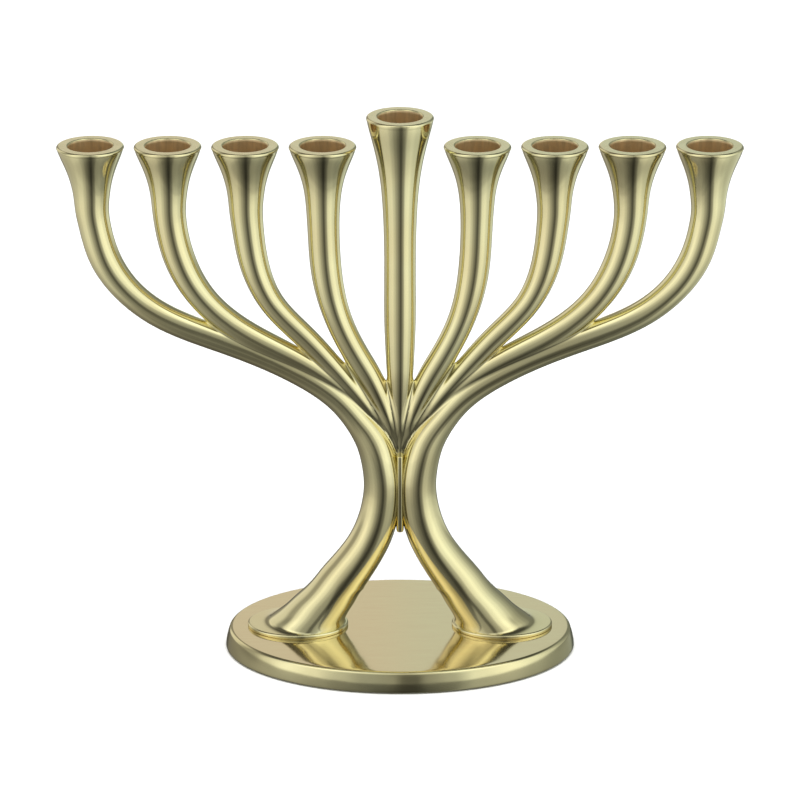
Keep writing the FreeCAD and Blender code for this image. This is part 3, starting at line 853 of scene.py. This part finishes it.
def tent_world():
    """A white light tent: walls bright at the sides, with a dark gap at the front where the lens
    looks in and dark seams near the back corners; a ceiling bright over the front and dark behind;
    a floor that dims downwards. The camera itself sees plain white."""
    world = bpy.data.worlds.new("white_light_tent")
    world.use_nodes = True
    tree = world.node_tree
    tree.nodes.clear()
    aim = add(tree, "ShaderNodeTexCoord").outputs["Generated"]
    aim = add(tree, "ShaderNodeVectorMath", {0: aim}, operation="NORMALIZE").outputs[0]
    parts = add(tree, "ShaderNodeSeparateXYZ", {0: aim})
    front = add(tree, "ShaderNodeMath", {0: parts.outputs["Y"], 1: -1.0}, operation="MULTIPLY")
    round_ = add(tree, "ShaderNodeMath", {0: parts.outputs["X"], 1: front.outputs[0]},
                 operation="ARCTAN2").outputs[0]
    round_ = add(tree, "ShaderNodeMath", {0: round_, 1: 1 / math.tau, 2: 0.5},
                 operation="MULTIPLY_ADD").outputs[0]
    rise = add(tree, "ShaderNodeMath", {0: parts.outputs["Z"]}, operation="ARCSINE").outputs[0]
    rise = add(tree, "ShaderNodeMath", {0: rise, 1: 1 / math.pi, 2: 0.5},
               operation="MULTIPLY_ADD").outputs[0]

    levels = []
    for field, stops, whole in ((round_, LOW_WALLS, 360), (round_, HIGH_WALLS, 360),
                                (rise, EYE_LEVEL, 180), (rise, CEILING, 180), (rise, FALL, 180)):
        node = add(tree, "ShaderNodeValToRGB", {0: field})
        set_stops(node, [(angle / whole + 0.5, level) for angle, level in stops])
        levels.append(node.outputs[0])
    low_walls, high_walls, blend, up, fall = levels
    walls = add(tree, "ShaderNodeMix", {0: blend, 2: low_walls, 3: high_walls}).outputs[0]
    # The ceiling: a bright panel over the front, a dark opening behind it.
    depth = add(tree, "ShaderNodeMapRange", {"Value": parts.outputs["Y"], "From Min": -0.3,
                                             "From Max": 0.1, "To Min": 1.3, "To Max": 0.14},
                interpolation_type="SMOOTHSTEP").outputs[0]
    share = add(tree, "ShaderNodeMath", {0: high_walls, 1: 0.7, 2: 0.3},
                operation="MULTIPLY_ADD").outputs[0]
    ceiling = add(tree, "ShaderNodeMath", {0: depth, 1: share}, operation="MULTIPLY").outputs[0]
    walls = add(tree, "ShaderNodeMix", {0: up, 2: walls, 3: ceiling}).outputs[0]
    light = add(tree, "ShaderNodeMath", {0: walls, 1: fall}, operation="MULTIPLY").outputs[0]
    tint = add(tree, "ShaderNodeMix", {0: round_, 6: linear("#FFFAF0"), 7: linear("#F6FFF7")},
               data_type="RGBA").outputs[2]
    tent = add(tree, "ShaderNodeBackground", {"Color": tint, "Strength": light})
    plain = add(tree, "ShaderNodeBackground", {"Color": linear("#FFFFFF"), "Strength": 1.0})
    straight = add(tree, "ShaderNodeLightPath").outputs["Is Camera Ray"]
    both = add(tree, "ShaderNodeMixShader", {0: straight, 1: tent.outputs[0],
                                             2: plain.outputs[0]})
    add(tree, "ShaderNodeOutputWorld", {0: both.outputs[0]})
    return world


def disc(name, radius, drop, material):
    """Flat round sheet, a little under the table's level."""
    count = 96
    rim = [(radius * math.cos(math.tau * i / count), radius * math.sin(math.tau * i / count), 0.0)
           for i in range(count)]
    mesh = bpy.data.meshes.new(name)
    mesh.from_pydata(rim, [], [list(range(count))])
    mesh.materials.append(material)
    sheet = new_object(name, mesh)
    sheet.location.z = -drop
    return sheet


def pale_floor(stage):
    """Matt white paper: a wide disc just under the felt."""
    material, tree = new_material("matt_white_paper")
    grain = object_noise(tree, 0.02, 3.0)
    tone = blended(tree, grain, 0.0, 1.0, stage.floor, shaded(stage.floor, 0.985))
    finish_surface(tree, {"Base Color": tone, "Roughness": 0.9, "Specular IOR Level": 0.1})
    floor = disc("floor", FLOOR_RADIUS, FLOOR_DROP, material)
    # The tent's own floor, dimmer below the piece, is what the metal mirrors.
    floor.visible_glossy = False
    return floor


def painted_floor_shade_card():
    """A dim round card of painted shade under the piece, seen only in its reflections: it keeps the
    mirrored floor dark close by and lets it brighten further out, as in a tent whose floor lies in
    shade."""
    material, tree = new_material("painted_floor_shade_card")
    place = add(tree, "ShaderNodeTexCoord").outputs["Object"]
    far = add(tree, "ShaderNodeVectorMath", {0: place}, operation="LENGTH").outputs["Value"]
    far = add(tree, "ShaderNodeMath", {0: far, 1: 1 / CARD_RADIUS}, operation="MULTIPLY").outputs[0]
    shade = add(tree, "ShaderNodeValToRGB", {0: far})
    set_stops(shade, CARD_LEVELS)
    # Painted shade: this grey see-through sheet dims the floor that the metal mirrors close to the
    # piece.
    clear = add(tree, "ShaderNodeBsdfTransparent", {"Color": shade.outputs[0]})
    add(tree, "ShaderNodeOutputMaterial", {"Surface": clear.outputs[0]})
    card = disc("painted_floor_shade_card", CARD_RADIUS, CARD_DROP, material)
    card.visible_camera = False
    card.visible_diffuse = False
    card.visible_shadow = False
    return card


def top_light():
    """A wide soft lamp over the front that lights the paper; the metal doesn't mirror it."""
    lamp = bpy.data.lights.new("top_panel", "AREA")
    lamp.shape = "RECTANGLE"
    lamp.size = lamp.size_y = LAMP_SIZE
    lamp.energy = LAMP_POWER
    lamp.color = linear(LAMP_TINT)[:3]
    holder = new_object("top_panel", lamp)
    aim = (-Vector(LAMP_PLACE)).to_track_quat("-Z", "Y")
    holder.matrix_world = Matrix.Translation(LAMP_PLACE) @ aim.to_matrix().to_4x4()
    holder.visible_glossy = False


class MENORAH_OT_stage(bpy.types.Operator):
    """Set up the camera, the light tent and the pale floor"""
    bl_idname = "menorah.stage"
    bl_label = "Stage"

    def execute(self, context):
        stage = context.scene.menorah_stage
        lens = bpy.data.cameras.new("camera")
        lens.lens = stage.lens
        lens.sensor_width = 36.0
        lens.clip_end = 50.0
        holder = new_object("camera", lens)
        place = Vector((0, -stage.distance * math.cos(stage.pitch),
                        stage.target + stage.distance * math.sin(stage.pitch)))
        holder.matrix_world = Matrix.Translation(place) \
            @ Matrix.Rotation(math.pi / 2 - stage.pitch, 4, "X")
        context.scene.camera = holder
        context.scene.world = tent_world()
        context.scene.view_settings.view_transform = "Standard"
        pale_floor(stage)
        # A card of painted shade, seen only in the metal's reflections.
        painted_floor_shade_card()
        top_light()
        return {"FINISHED"}


class MENORAH_PT_panel(bpy.types.Panel):
    """Lists the steps that build the menorah"""
    bl_label = "Menorah"
    bl_idname = "MENORAH_PT_panel"
    bl_space_type = "VIEW_3D"
    bl_region_type = "UI"
    bl_category = "Menorah"

    def draw(self, context):
        for group in GROUPS:
            box = self.layout.box()
            box.label(text=group[0].title())
            owner = getattr(context.scene, "menorah_" + group[0])
            for name in owner.bl_rna.properties.keys():
                if name not in ("rna_type", "name"):
                    box.prop(owner, name)
        for operator in STEPS:
            self.layout.operator(operator.bl_idname)


GROUPS = (("cups", MenorahCups), ("arms", MenorahArms), ("base", MenorahBase),
          ("finish", MenorahFinish), ("stage", MenorahStage))
STEPS = (MENORAH_OT_castings, MENORAH_OT_waist_bar, MENORAH_OT_base, MENORAH_OT_felt,
         MENORAH_OT_fasteners, MENORAH_OT_stage)


def register():
    for name, group in GROUPS:
        bpy.utils.register_class(group)
        setattr(bpy.types.Scene, "menorah_" + name, PointerProperty(type=group))
    for operator in STEPS:
        bpy.utils.register_class(operator)
    bpy.utils.register_class(MENORAH_PT_panel)


def unregister():
    bpy.utils.unregister_class(MENORAH_PT_panel)
    for operator in reversed(STEPS):
        bpy.utils.unregister_class(operator)
    for name, group in reversed(GROUPS):
        delattr(bpy.types.Scene, "menorah_" + name)
        bpy.utils.unregister_class(group)


def plain(box):
    return [[float(v) for v in corner] for corner in box]


def main():
    register()
    for operator in STEPS:
        family, step = operator.bl_idname.split(".")
        getattr(getattr(bpy.ops, family), step)()
    bpy.context.view_layer.update()


if __name__ == "__main__":
    main()
